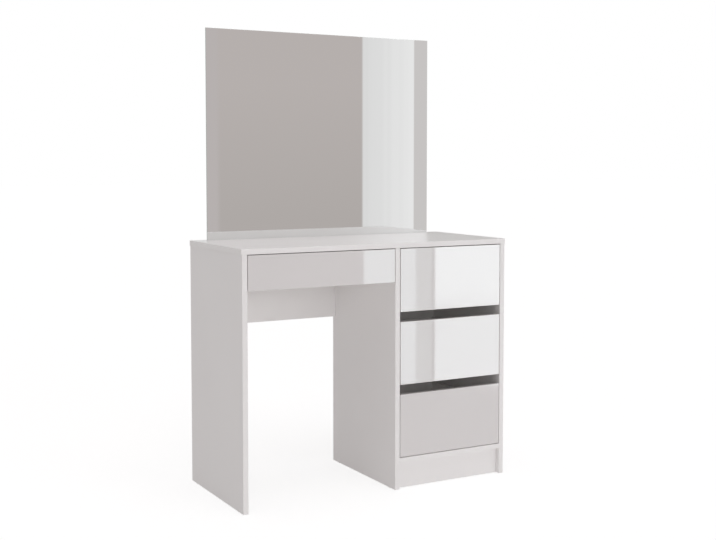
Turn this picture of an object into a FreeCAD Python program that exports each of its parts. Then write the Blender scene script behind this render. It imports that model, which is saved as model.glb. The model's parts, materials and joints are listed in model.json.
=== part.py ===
import FreeCAD, Part
import os
import re
from collections import namedtuple
import Sketcher
from FreeCAD import Placement, Rotation, Vector

# Driving dimensions in millimetres: name, size, what it is
DIMENSIONS = [
    ("table_width", 900, "width of the tabletop"),
    ("table_depth", 400, "depth of the tabletop and of the upright panels"),
    ("table_height", 750, "floor to the top of the tabletop"),
    ("board", 16, "thickness of every carcass board and drawer front"),
    ("edge_radius", 0.8, "rounding along the banded edges"),
    ("overhang", 2, "tabletop past the outer face of a side panel"),
    ("pedestal_width", 400, "outside width of the drawer pedestal"),
    ("plinth_height", 82, "floor to the underside of the pedestal bottom"),
    ("plinth_setback", 16, "front edge of the panels to the plinth"),
    ("modesty_height", 250, "height of the board behind the kneehole"),
    ("rail_height", 100, "height of the rail across the top of the pedestal's back"),
    ("reveal", 2, "gap round a drawer front"),
    ("grip_gap", 30, "finger gap between two drawer fronts"),
    ("knee_front_height", 100, "height of the front over the kneehole"),
    ("mirror_width", 800, "width of the mirror glass"),
    ("mirror_height", 650, "height of the mirror glass"),
    ("glass", 4, "thickness of the mirror glass"),
    ("glass_arris", 0.5, "ground edge of the mirror glass"),
    ("backing_inset", 30, "edge of the glass to the edge of its backing board"),
    ("strap_width", 30, "width of a mirror strap"),
    ("strap_thickness", 2, "thickness of a mirror strap"),
    ("strap_length", 300, "length of a mirror strap"),
    ("strap_drop", 94, "lower end of a strap below the tabletop's underside"),
    ("strap_spread", 250, "centre of the table to a strap"),
    ("head_height", 2, "height of a pan head"),
    ("head_radius", 3.5, "radius of a screw head"),
    ("screw_radius", 1.6, "radius of a screw's shank"),
    ("strap_screw_length", 14, "strap screw under its head"),
    ("runner_screw_length", 11, "countersunk screw of a runner"),
    ("back_screw_length", 35, "countersunk screw of a drawer back"),
    ("countersink", 1.8, "depth of a countersunk head"),
    ("glide_radius", 7.5, "radius of a floor glide"),
    ("glide_height", 2, "floor to the underside of the upright panels"),
    ("glide_nail", 14, "length of the nail of a glide"),
    ("glide_nail_radius", 1.2, "radius of the nail of a glide"),
    ("dowel_radius", 4, "radius of a wooden dowel"),
    ("dowel_in_face", 11, "dowel in the face of a board"),
    ("dowel_in_edge", 19, "dowel in the edge of a board"),
    ("dowel_chamfer", 1, "chamfer at the ends of a dowel"),
    ("cam_radius", 7.4, "radius of a carcass cam lock"),
    ("cam_depth", 12, "depth of a carcass cam lock"),
    ("cam_setback", 34, "edge of a board to the centre of its cam lock"),
    ("drawer_cam_radius", 5.9, "radius of a drawer cam lock"),
    ("drawer_cam_depth", 9, "depth of a drawer cam lock"),
    ("drawer_cam_setback", 24, "end of a drawer side to the centre of its cam lock"),
    ("slot_width", 1.4, "width of the driver slot in a cam lock"),
    ("slot_depth", 1.6, "depth of the driver slots"),
    ("bolt_thread", 11, "cam bolt in the face of a board"),
    ("bolt_radius", 2.8, "radius of a cam bolt"),
    ("sheet", 3, "thickness of hardboard"),
    ("tongue", 4.5, "hardboard inside its groove"),
    ("back_groove_inset", 10, "back edge of a panel to the hardboard"),
    ("drawer_wall", 12, "thickness of a drawer's sides and back"),
    ("drawer_depth", 350, "length of a drawer's sides"),
    ("drawer_bottom_rise", 8, "lower edge of a drawer's sides to its bottom"),
    ("pedestal_side_height", 118, "height of a pedestal drawer's sides"),
    ("pedestal_lift", 20, "lower edge of a pedestal front to the drawer's sides"),
    ("knee_side_height", 65, "height of the kneehole drawer's sides"),
    ("knee_lift", 14, "lower edge of the kneehole front to the drawer's sides"),
    ("runner_gap", 12.5, "panel to drawer side, where the runners are"),
    ("runner_length", 348, "length of a runner"),
    ("runner_start", 1, "back of a drawer front to the runners"),
    ("runner_height", 32, "height of a cabinet runner"),
    ("runner_steel", 1.2, "thickness of runner steel"),
    ("runner_flange", 10.8, "width of the cabinet runner's track"),
    ("runner_lip", 3.2, "height of the lip along the track"),
    ("runner_cover", 8, "width of the cabinet runner's upper flange"),
    ("runner_mouth", 45, "front of the cabinet runner with no upper flange"),
    ("drawer_runner_foot", 7, "underside of the cabinet runner to the drawer side"),
    ("drawer_runner_top", 26.5, "underside of the cabinet runner to the drawer runner's top"),
    ("drawer_runner_reach", 9.5, "width of the drawer runner's upper flange"),
    ("roller_radius", 11.5, "radius of a roller"),
    ("roller_start", 2.4, "panel to the near face of a roller"),
    ("roller_width", 6.8, "width of a roller"),
    ("roller_inset", 14, "end of a runner to the axis of its roller"),
    ("roller_gap", 0.3, "roller to the track it runs on"),
    ("roller_recess", 1.6, "depth of the hollow in a roller's faces"),
    ("roller_rim", 2.2, "thickness of a roller's rim"),
    ("roller_hub", 5.2, "radius of a roller's hub"),
    ("axle_radius", 2.5, "radius of a roller's axle"),
    ("axle_head_radius", 3.6, "radius of an axle's collar and riveted head"),
    ("axle_head", 0.6, "thickness of an axle's riveted head"),
    ("axle_play", 0.05, "axle to the roller's bore"),
    ("fit_play", 0.1, "fitting or sheet to its hole or groove"),
]

# Places worked out from the dimensions: x to the right, y to the back, z up, origin under the middle
FRONT_Y = "(-(table_depth + strap_thickness + head_height) / 2)"
BACK_Y = f"({FRONT_Y} + table_depth)"
BOX_Y = f"({FRONT_Y} + board)"
RUNNER_Y = f"({BOX_Y} + runner_start)"
TOP_Z = "(table_height - board)"
LEFT_X = "(-table_width / 2 + overhang)"
RIGHT_X = "(table_width / 2 - overhang)"
DIVIDER_X = f"({RIGHT_X} - pedestal_width)"
KNEE_X = f"({LEFT_X} + board)"
KNEE_WIDTH = f"({DIVIDER_X} - {KNEE_X})"
PEDESTAL_X = f"({DIVIDER_X} + board)"
PEDESTAL_WIDTH = "(pedestal_width - 2 * board)"
PEDESTAL_END_X = f"({RIGHT_X} - board)"
BOTTOM_Z = "(plinth_height + board)"
PEDESTAL_FRONT = f"(({TOP_Z} - {BOTTOM_Z} - 2 * reveal - 2 * grip_gap) / 3)"
FRONT_STEP = f"({PEDESTAL_FRONT} + grip_gap)"
HARDBOARD_Y = f"({BACK_Y} - back_groove_inset - sheet)"

# Drawers: the space each slides in, its front, its box, and heights of cams and screws up its sides
Drawer = namedtuple(
    "Drawer", "name inside_x inside_width front_z front_height lift side_height cams screws")
BOTTOM_FRONT_Z = f"({BOTTOM_Z} + reveal)"
PEDESTAL_BOX = (PEDESTAL_FRONT, "pedestal_lift", "pedestal_side_height", (42, 96), (40, 90))
DRAWERS = [
    Drawer("knee", KNEE_X, KNEE_WIDTH, f"({TOP_Z} - reveal - knee_front_height)",
           "knee_front_height", "knee_lift", "knee_side_height", (42,), (30, 52)),
    Drawer("top", PEDESTAL_X, PEDESTAL_WIDTH, f"({BOTTOM_FRONT_Z} + 2 * {FRONT_STEP})", *PEDESTAL_BOX),
    Drawer("middle", PEDESTAL_X, PEDESTAL_WIDTH, f"({BOTTOM_FRONT_Z} + {FRONT_STEP})", *PEDESTAL_BOX),
    Drawer("bottom", PEDESTAL_X, PEDESTAL_WIDTH, BOTTOM_FRONT_Z, *PEDESTAL_BOX),
]
RUNNER_SCREW_HEIGHT = 21
CABINET_SCREWS = (60, 290)
DRAWER_SCREWS = (90, 250)

UP = Vector(0, 0, 1)
DOWN = Vector(0, 0, -1)
RIGHT = Vector(1, 0, 0)
LEFT = Vector(-1, 0, 0)
BACK = Vector(0, 1, 0)
FORWARD = Vector(0, -1, 0)

doc = FreeCAD.newDocument("dressing_table")
sheet = doc.addObject("Spreadsheet::Sheet", "Sizes")
for row, (alias, size, meaning) in enumerate(DIMENSIONS, start=1):
    sheet.set(f"A{row}", meaning)
    sheet.set(f"B{row}", str(size))
    sheet.setAlias(f"B{row}", alias)
doc.recompute()

finished = []


def formula(text):
    """Writes the plain names in a formula as cells of the sheet."""
    return re.sub(r"[a-z_]+", lambda word: "Sizes." + word.group(0), text)


def value(text):
    """The number that a formula gives with the sheet's sizes."""
    return float(sheet.evalExpression(formula(text)))


def bind(item, **sizes):
    for name, text in sizes.items():
        item.setExpression(name, formula(text))


def put(item, corner):
    """Places an object's own origin at a corner given as three formulas."""
    for axis, text in zip("xyz", corner):
        item.setExpression(f"Placement.Base.{axis}", formula(text))


def finish(item, label):
    """Marks an object as a finished sub-part under its own name."""
    item.Label = label
    finished.append(item)
    return item


def outline(body, plane, points):
    """A closed outline whose corners are held at distances given as pairs of formulas."""
    sketch = body.newObject("Sketcher::SketchObject", body.Name + "_outline")
    support = next(part for part in body.Origin.OriginFeatures if part.Role == plane)
    sketch.AttachmentSupport = [(support, "")]
    sketch.MapMode = "FlatFace"
    corners = [Vector(value(across), value(along), 0) for across, along in points]
    for start, end in zip(corners, corners[1:] + corners[:1]):
        sketch.addGeometry(Part.LineSegment(start, end), False)
    for index, corner in enumerate(points):
        following = (index + 1) % len(points)
        sketch.addConstraint(Sketcher.Constraint("Coincident", index, 2, following, 1))
        for kind, text, zero_axis in zip(("DistanceX", "DistanceY"), corner, (-2, -1)):
            if text == "0":
                sketch.addConstraint(Sketcher.Constraint("PointOnObject", index, 1, zero_axis))
                continue
            number = sketch.addConstraint(Sketcher.Constraint(kind, -1, 1, index, 1, value(text)))
            sketch.setExpression(f"Constraints[{number}]", formula(text))
    return sketch


def board(label, size, corner, rounding="edge_radius"):
    """A board: a rectangle padded to its height, with every edge rounded."""
    across, along, height = size
    body = doc.addObject("PartDesign::Body", label + "_blank")
    sketch = outline(body, "XY_Plane", [("0", "0"), (across, "0"), (across, along), ("0", along)])
    pad = body.newObject("PartDesign::Pad", label + "_pad")
    pad.Profile = sketch
    bind(pad, Length=height)
    sketch.recompute()
    pad.recompute()
    rounded = body.newObject("PartDesign::Fillet", label + "_edges")
    rounded.Base = (pad, ["Edge1"])
    rounded.UseAllEdges = True
    bind(rounded, Radius=rounding)
    put(body, corner)
    return body


def turned(name, points):
    """A turned piece: an outline of radius and height spun about the height axis."""
    body = doc.addObject("PartDesign::Body", name + "_turned")
    sketch = outline(body, "XZ_Plane", points)
    spin = body.newObject("PartDesign::Revolution", name + "_spin")
    spin.Profile = sketch
    spin.ReferenceAxis = (sketch, ["V_Axis"])
    return body


def block(name, size, corner):
    box = doc.addObject("Part::Box", name)
    bind(box, Length=size[0], Width=size[1], Height=size[2])
    put(box, corner)
    return box


def rod(name, radius, length, corner):
    """A round bar along x."""
    bar = doc.addObject("Part::Cylinder", name)
    bar.Placement.Rotation = Rotation(UP, RIGHT)
    bind(bar, Radius=radius, Height=length)
    put(bar, corner)
    return bar


def joined(name, pieces):
    fused = doc.addObject("Part::MultiFuse", name)
    fused.Shapes = pieces
    fused.Refine = True
    return fused


def cut(name, base, tools):
    """What is left of a piece after each tool has been taken out of it."""
    left = base
    for number, tool in enumerate(tools):
        step = doc.addObject("Part::Cut", f"{name}_cut_{number}")
        step.Base = left
        step.Tool = tool
        step.Refine = False
        left = step
    return left


def group(name, solids):
    """Separate solids kept together under one name."""
    item = doc.addObject("Part::Feature", name)
    item.Shape = Part.makeCompound(solids)
    return item


def drillings(name, solids):
    """Every hole of one kind of fitting as one cutting tool."""
    tool = doc.addObject("Part::Feature", name)
    tool.Shape = solids[0].multiFuse(solids[1:])
    return tool


def at(origin, into, opening):
    """The place of a fitting: its own z runs into the board, its own x towards the open face."""
    return Placement(Vector(*origin), Rotation(opening, into.cross(opening), into, "ZXY"))


def copies(prototype, places):
    return [prototype.transformed(place.toMatrix()) for place in places]


# Fittings, each made once about its own z axis
def dowel(name, play):
    radius = f"(dowel_radius - fit_play + {play})"
    low = f"(-dowel_in_face - {play})"
    high = f"(dowel_in_edge + {play})"
    narrow = f"({radius} - dowel_chamfer)"
    return turned(name, [
        ("0", low), (narrow, low), (radius, f"({low} + dowel_chamfer)"),
        (radius, f"({high} - dowel_chamfer)"), (narrow, high), ("0", high)])


def countersunk_screw(name, length, play):
    head = f"(head_radius + {play})"
    shank = f"(screw_radius + {play})"
    end = f"({length} + {play})"
    return turned(name, [
        ("0", "0"), (head, "0"), (shank, "countersink"),
        (shank, f"({end} - 2 * screw_radius)"), (f"({play} + fit_play)", end), ("0", end)])


def pan_screw(name, play):
    shank = f"(screw_radius + {play})"
    end = f"(strap_screw_length + {play})"
    return turned(name, [
        ("0", "(-head_height)"), ("(head_radius / 2)", "(-head_height)"),
        ("head_radius", "(-head_height / 2)"), ("head_radius", "0"), (shank, "0"),
        (shank, f"({end} - 2 * screw_radius)"), (f"({play} + fit_play)", end), ("0", end)])


def cam_bolt(name, reach, play):
    radius = f"(bolt_radius + {play})"
    low = f"(-bolt_thread - {play})"
    return turned(name, [("0", low), (radius, low), (radius, reach), ("0", reach)])


def cam(name, radius, depth, play):
    """A cam lock whose face is at zero and whose body goes down from it."""
    wide = f"({radius} + {play})"
    low = f"(-{depth} - {play})"
    return turned(name, [("0", low), (wide, low), (wide, "0"), ("0", "0")])


def glide(name, play):
    nail = f"(glide_nail_radius + {play})"
    top = f"(glide_height + glide_nail + {play})"
    edge = "(glide_height / 2)"
    return turned(name, [
        ("0", "0"), (f"(glide_radius - {edge})", "0"), ("glide_radius", edge),
        ("glide_radius", "glide_height"), (nail, "glide_height"), (nail, f"({top} - glide_height)"),
        (f"({play} + fit_play)", top), ("0", top)])


def roller(name):
    """A plastic roller with a hub, a thin web and a rim, centred on its own width."""
    half = "(roller_width / 2)"
    hollow = f"({half} - roller_recess)"
    inner = "(axle_radius + axle_play)"
    rim = "(roller_radius - roller_rim)"
    upper = [(inner, half), ("roller_hub", half), ("roller_hub", hollow), (rim, hollow), (rim, half),
             ("roller_radius", half)]
    lower = [(radius, f"(-{height})") for radius, height in reversed(upper)]
    return turned(name, upper + lower)


SNUG = "fit_play"
NONE = "0"
CAM_REACH = "(cam_setback - cam_radius - fit_play)"
DRAWER_CAM_REACH = "(drawer_cam_setback - drawer_cam_radius - fit_play)"
prototypes = {
    "dowel": dowel("dowel", NONE),
    "dowel_hole": dowel("dowel_hole", SNUG),
    "cam_bolt": cam_bolt("cam_bolt", CAM_REACH, NONE),
    "cam_bolt_hole": cam_bolt("cam_bolt_hole", "cam_setback", SNUG),
    "cam": cam("cam", "cam_radius", "cam_depth", NONE),
    "cam_hole": cam("cam_hole", "cam_radius", "cam_depth", SNUG),
    "drawer_bolt": cam_bolt("drawer_bolt", DRAWER_CAM_REACH, NONE),
    "drawer_bolt_hole": cam_bolt("drawer_bolt_hole", "drawer_cam_setback", SNUG),
    "drawer_cam": cam("drawer_cam", "drawer_cam_radius", "drawer_cam_depth", NONE),
    "drawer_cam_hole": cam("drawer_cam_hole", "drawer_cam_radius", "drawer_cam_depth", SNUG),
    "runner_screw": countersunk_screw("runner_screw", "runner_screw_length", NONE),
    "runner_screw_hole": countersunk_screw("runner_screw_hole", "runner_screw_length", SNUG),
    "back_screw": countersunk_screw("back_screw", "back_screw_length", NONE),
    "back_screw_hole": countersunk_screw("back_screw_hole", "back_screw_length", SNUG),
    "strap_screw": pan_screw("strap_screw", NONE),
    "strap_screw_hole": pan_screw("strap_screw_hole", SNUG),
    "glide": glide("glide", NONE),
    "glide_hole": glide("glide_hole", SNUG),
    "roller": roller("roller"),
}
doc.recompute()
SOLIDS = {name: body.Shape.copy() for name, body in prototypes.items()}


def slotted(solid, radius):
    """A cam lock with the driver slot cut across its face at zero height."""
    width = value("slot_width")
    depth = value("slot_depth")
    bar = Part.makeBox(2 * radius, width, depth, Vector(-radius, -width / 2, -depth))
    return solid.cut(bar)


SOLIDS["cam"] = slotted(SOLIDS["cam"], value("cam_radius") / 2)
SOLIDS["drawer_cam"] = slotted(SOLIDS["drawer_cam"], value("drawer_cam_radius") / 2)


def cam_face(place, setback, thickness):
    """The place of a cam lock's face, from its bolt's place on the board's middle plane."""
    turn = Placement(Vector(thickness / 2, 0, setback), Rotation(UP, RIGHT))
    return place.multiply(turn)


# Where the carcass boards meet: places of the dowels and of the cam bolts
HALF = value("board") / 2
front_y, back_y, top_z = value(FRONT_Y), value(BACK_Y), value(TOP_Z)
left_x, right_x, divider_x = value(LEFT_X), value(RIGHT_X), value(DIVIDER_X)
knee_x, pedestal_x, pedestal_end_x = value(KNEE_X), value(PEDESTAL_X), value(PEDESTAL_END_X)
rear_y = back_y - HALF
floor_z = value("plinth_height") + HALF
plinth_y = front_y + value("plinth_setback") + HALF
plinth_z = value("plinth_height") / 2
panel_middles = [left_x + HALF, divider_x + HALF, right_x - HALF]
panel_insides = [RIGHT, RIGHT, LEFT]
table_top_z = value("table_height")

# Distances along the joints, from the front edge or down from the tabletop's underside
TOP_CAMS, TOP_DOWELS = (60, 340), (110, 290)
BOTTOM_CAMS, BOTTOM_DOWELS = (60, 330), (120, 280)
MODESTY_CAMS, MODESTY_DOWEL = (45, 205), 125
RAIL_CAM, RAIL_DOWEL = 70, 25
PLINTH_DOWEL_DROP = 22
MODESTY_TOP_DOWELS, RAIL_TOP_DOWELS, BACKING_DOWELS = (90, 390), (120, 240), (-200, 200)
GLIDES = (40, 360)
STRAP_SCREWS = (18, 68, 168, 282)

dowel_places, bolt_places = [], []
for middle, inside in zip(panel_middles, panel_insides):
    dowel_places += [at((middle, front_y + along, top_z), DOWN, inside) for along in TOP_DOWELS]
    bolt_places += [at((middle, front_y + along, top_z), DOWN, inside) for along in TOP_CAMS]
for end, into in ((knee_x, RIGHT), (divider_x, LEFT)):
    dowel_places.append(at((end, rear_y, top_z - MODESTY_DOWEL), into, BACK))
    bolt_places += [at((end, rear_y, top_z - drop), into, BACK) for drop in MODESTY_CAMS]
for end, into in ((pedestal_x, RIGHT), (pedestal_end_x, LEFT)):
    dowel_places.append(at((end, rear_y, top_z - RAIL_DOWEL), into, BACK))
    dowel_places += [at((end, front_y + along, floor_z), into, DOWN) for along in BOTTOM_DOWELS]
    dowel_places.append(at((end, plinth_y, plinth_z - PLINTH_DOWEL_DROP), into, BACK))
    bolt_places.append(at((end, rear_y, top_z - RAIL_CAM), into, BACK))
    bolt_places += [at((end, front_y + along, floor_z), into, DOWN) for along in BOTTOM_CAMS]
    bolt_places.append(at((end, plinth_y, plinth_z), into, BACK))
dowel_places += [at((knee_x + along, rear_y, top_z), DOWN, BACK) for along in MODESTY_TOP_DOWELS]
dowel_places += [at((pedestal_x + along, rear_y, top_z), DOWN, BACK) for along in RAIL_TOP_DOWELS]
dowel_places += [at((across, rear_y, table_top_z), UP, BACK) for across in BACKING_DOWELS]
cam_places = [cam_face(place, value("cam_setback"), value("board")) for place in bolt_places]
glide_places = [at((middle, front_y + along, 0), UP, RIGHT) for middle in panel_middles for along in GLIDES]
strap_low_z = top_z - value("strap_drop")
strap_face_y = back_y + value("strap_thickness")
strap_middles = (-value("strap_spread"), value("strap_spread"))
strap_screw_places = [at((middle, strap_face_y, strap_low_z + along), FORWARD, RIGHT)
                      for middle in strap_middles for along in STRAP_SCREWS]


def runner_base(plan):
    """Height of the underside of a drawer's cabinet runners."""
    return f"({plan.front_z} + {plan.lift} - drawer_runner_foot)"


def runner_places(plan, face_offset, rows, towards_panel):
    """Places of the runner screws on both sides of one drawer."""
    start_y = value(RUNNER_Y)
    screw_z = value(runner_base(plan)) + RUNNER_SCREW_HEIGHT
    ends = ((plan.inside_x, RIGHT), (f"({plan.inside_x} + {plan.inside_width})", LEFT))
    places = []
    for end, inward in ends:
        face = value(end) + inward.x * value(face_offset)
        into = inward * -1 if towards_panel else inward
        places += [at((face, start_y + along, screw_z), into, UP) for along in rows]
    return places


cabinet_screw_places = []
for plan in DRAWERS:
    cabinet_screw_places += runner_places(plan, "runner_steel", CABINET_SCREWS, True)

finish(group("wood_dowels", copies(SOLIDS["dowel"], dowel_places)), "wood_dowels")
finish(group("cam_bolts", copies(SOLIDS["cam_bolt"], bolt_places)), "cam_bolts")
finish(group("cam_locks", copies(SOLIDS["cam"], cam_places)), "cam_locks")
finish(group("floor_glides", copies(SOLIDS["glide"], glide_places)), "floor_glides")
finish(group("strap_screws", copies(SOLIDS["strap_screw"], strap_screw_places)), "strap_screws")
finish(group("runner_screws", copies(SOLIDS["runner_screw"], cabinet_screw_places)), "runner_screws")
holes = [
    drillings("dowel_holes", copies(SOLIDS["dowel_hole"], dowel_places)),
    drillings("bolt_holes", copies(SOLIDS["cam_bolt_hole"], bolt_places)),
    drillings("cam_holes", copies(SOLIDS["cam_hole"], cam_places)),
]
glide_holes = drillings("glide_holes", copies(SOLIDS["glide_hole"], glide_places))
strap_holes = drillings("strap_holes", copies(SOLIDS["strap_screw_hole"], strap_screw_places))
runner_holes = drillings("runner_holes", copies(SOLIDS["runner_screw_hole"], cabinet_screw_places))


# Carcass boards
GROOVE_DEPTH = "(tongue + fit_play)"
GROOVE_WIDTH = "(sheet + 2 * fit_play)"
GROOVE_Y = f"({HARDBOARD_Y} - fit_play)"
UPRIGHT = ("board", "table_depth", f"({TOP_Z} - glide_height)")


def panel(label, size, corner, tools):
    return finish(cut(label, board(label, size, corner), tools), label)


def upright(label, left_face, groove_x=None):
    """An upright panel, with the groove of the hardboard back where the pedestal needs it."""
    tools = holes + [glide_holes, runner_holes]
    if groove_x:
        size = (GROOVE_DEPTH, GROOVE_WIDTH, TOP_Z)
        tools = tools + [block(label + "_groove", size, (groove_x, GROOVE_Y, "0"))]
    return panel(label, UPRIGHT, (left_face, FRONT_Y, "glide_height"), tools)


panel("tabletop", ("table_width", "table_depth", "board"), ("(-table_width / 2)", FRONT_Y, TOP_Z), holes)
upright("left_side_panel", LEFT_X)
upright("divider_panel", DIVIDER_X, f"({PEDESTAL_X} - {GROOVE_DEPTH})")
upright("right_side_panel", PEDESTAL_END_X, PEDESTAL_END_X)

bottom_groove = block("bottom_groove", (PEDESTAL_WIDTH, GROOVE_WIDTH, GROOVE_DEPTH),
                      (PEDESTAL_X, GROOVE_Y, f"({BOTTOM_Z} - {GROOVE_DEPTH})"))
panel("pedestal_bottom_panel", (PEDESTAL_WIDTH, "table_depth", "board"),
      (PEDESTAL_X, FRONT_Y, "plinth_height"), holes + [bottom_groove])
panel("plinth_board", (PEDESTAL_WIDTH, "board", "(plinth_height - glide_height)"),
      (PEDESTAL_X, f"({FRONT_Y} + plinth_setback)", "glide_height"), holes)
panel("modesty_panel", (KNEE_WIDTH, "board", "modesty_height"),
      (KNEE_X, f"({BACK_Y} - board)", f"({TOP_Z} - modesty_height)"), holes + [strap_holes])

RAIL_Z = f"({TOP_Z} - rail_height)"
rail_groove = block("rail_groove", (PEDESTAL_WIDTH, GROOVE_WIDTH, GROOVE_DEPTH),
                    (PEDESTAL_X, GROOVE_Y, RAIL_Z))
panel("pedestal_rear_rail", (PEDESTAL_WIDTH, "board", "rail_height"),
      (PEDESTAL_X, f"({BACK_Y} - board)", RAIL_Z), holes + [strap_holes, rail_groove])

hardboard_size = (f"({PEDESTAL_WIDTH} + 2 * tongue)", "sheet", f"({RAIL_Z} - {BOTTOM_Z} + 2 * tongue)")
hardboard_corner = (f"({PEDESTAL_X} - tongue)", HARDBOARD_Y, f"({BOTTOM_Z} - tongue)")
finish(block("pedestal_back_sheet", hardboard_size, hardboard_corner), "pedestal_back_sheet")


# Mirror and the straps that hold it upright
GLASS_Y = f"({BACK_Y} - board - glass)"
backing_size = ("(mirror_width - 2 * backing_inset)", "board", "(mirror_height - backing_inset)")
panel("mirror_backing_board", backing_size,
      ("(-mirror_width / 2 + backing_inset)", f"({BACK_Y} - board)", "table_height"), holes + [strap_holes])
finish(board("mirror_glass", ("mirror_width", "glass", "mirror_height"),
             ("(-mirror_width / 2)", GLASS_Y, "table_height"), "glass_arris"), "mirror_glass")
for side, middle in (("left", "(-strap_spread)"), ("right", "strap_spread")):
    label = f"{side}_mirror_strap"
    strap = block(label + "_bar", ("strap_width", "strap_thickness", "strap_length"),
                  (f"({middle} - strap_width / 2)", BACK_Y, f"({TOP_Z} - strap_drop)"))
    finish(cut(label, strap, [strap_holes]), label)


# Runners: u is the distance from the panel towards the drawer, on either side
def facing(plan, side):
    """A function that gives the low x of a span of u on one side of a drawer."""
    if side == "left":
        return lambda start, end: f"({plan.inside_x} + {start})"
    return lambda start, end: f"({plan.inside_x} + {plan.inside_width} - {end})"


def span(name, low_x, start, end, y_span, z_span):
    """A block between two distances from the panel, two depths and two heights."""
    size = (f"({end} - {start})", f"({y_span[1]} - {y_span[0]})", f"({z_span[1]} - {z_span[0]})")
    return block(name, size, (low_x(start, end), y_span[0], z_span[0]))


def stub(name, low_x, start, end, radius, y, z):
    """A round step of an axle between two distances from the panel."""
    return rod(name, radius, f"({end} - {start})", (low_x(start, end), y, z))


ROLLER_END = "(roller_start + roller_width)"
FRONT_AXLE_Y = f"({RUNNER_Y} + roller_inset)"
REAR_AXLE_Y = f"({RUNNER_Y} + runner_length - roller_inset)"
DRAWER_WEB = "(runner_gap - runner_steel)"
RUNNER_SPAN = (RUNNER_Y, f"({RUNNER_Y} + runner_length)")
COVER_SPAN = (f"({RUNNER_Y} + runner_mouth)", f"({RUNNER_Y} + runner_length)")


def front_axle_z(base):
    return f"({base} + drawer_runner_top - runner_steel - roller_gap - roller_radius)"


def rear_axle_z(base):
    return f"({base} + runner_steel + roller_gap + roller_radius)"


def cabinet_runner(name, low_x, base):
    """Fixed runner: web, track with a lip, upper flange and the axle of the front roller."""
    track = f"({base} + runner_steel)"
    lip = ("(runner_flange - runner_steel)", "runner_flange")
    top = f"({base} + runner_height)"
    axle = (FRONT_AXLE_Y, front_axle_z(base))
    collar_end = "(roller_start - roller_gap)"
    rivet = f"({ROLLER_END} + roller_gap)"
    return joined(name, [
        span(name + "_web", low_x, "0", "runner_steel", RUNNER_SPAN, (base, top)),
        span(name + "_track", low_x, "0", "runner_flange", RUNNER_SPAN, (base, track)),
        span(name + "_lip", low_x, *lip, RUNNER_SPAN, (base, f"({base} + runner_lip)")),
        span(name + "_cover", low_x, "0", "runner_cover", COVER_SPAN, (f"({top} - runner_steel)", top)),
        stub(name + "_collar", low_x, "0", collar_end, "axle_head_radius", *axle),
        stub(name + "_axle", low_x, "0", rivet, "axle_radius", *axle),
        stub(name + "_rivet", low_x, rivet, f"({rivet} + axle_head)", "axle_head_radius", *axle),
    ])


def drawer_runner(name, low_x, base):
    """Moving runner: foot under the drawer side, web, upper flange and the rear roller's axle."""
    top = f"({base} + drawer_runner_top)"
    foot = f"({base} + drawer_runner_foot)"
    under = f"({foot} - runner_steel)"
    flange_start = "(runner_gap - drawer_runner_reach)"
    axle = (REAR_AXLE_Y, rear_axle_z(base))
    collar_start = f"({ROLLER_END} + roller_gap)"
    rivet = "(roller_start - roller_gap / 2)"
    return joined(name, [
        span(name + "_web", low_x, DRAWER_WEB, "runner_gap", RUNNER_SPAN, (under, top)),
        span(name + "_foot", low_x, DRAWER_WEB, "(runner_gap + drawer_wall)", RUNNER_SPAN, (under, foot)),
        span(name + "_flange", low_x, flange_start, "runner_gap", RUNNER_SPAN,
             (f"({top} - runner_steel)", top)),
        stub(name + "_collar", low_x, collar_start, "runner_gap", "axle_head_radius", *axle),
        stub(name + "_axle", low_x, rivet, "runner_gap", "axle_radius", *axle),
        stub(name + "_rivet", low_x, f"({rivet} - axle_head)", rivet, "axle_head_radius", *axle),
    ])


def pair(label, sides, tool):
    """Left and right runner as one sub-part, drilled for their screws."""
    both = doc.addObject("Part::Compound", label + "_pair")
    both.Links = [cut(side.Name, side, [tool]) for side in sides]
    return finish(both, label)


def roller_pair(label, plan, y, z):
    """The two rollers that turn about one line across the drawer."""
    middle = f"((roller_start + {ROLLER_END}) / 2)"
    ends = (f"({plan.inside_x} + {middle})", f"({plan.inside_x} + {plan.inside_width} - {middle})")
    places = [at((value(end), value(y), value(z)), RIGHT, UP) for end in ends]
    return finish(group(label, copies(SOLIDS["roller"], places)), label)


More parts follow.
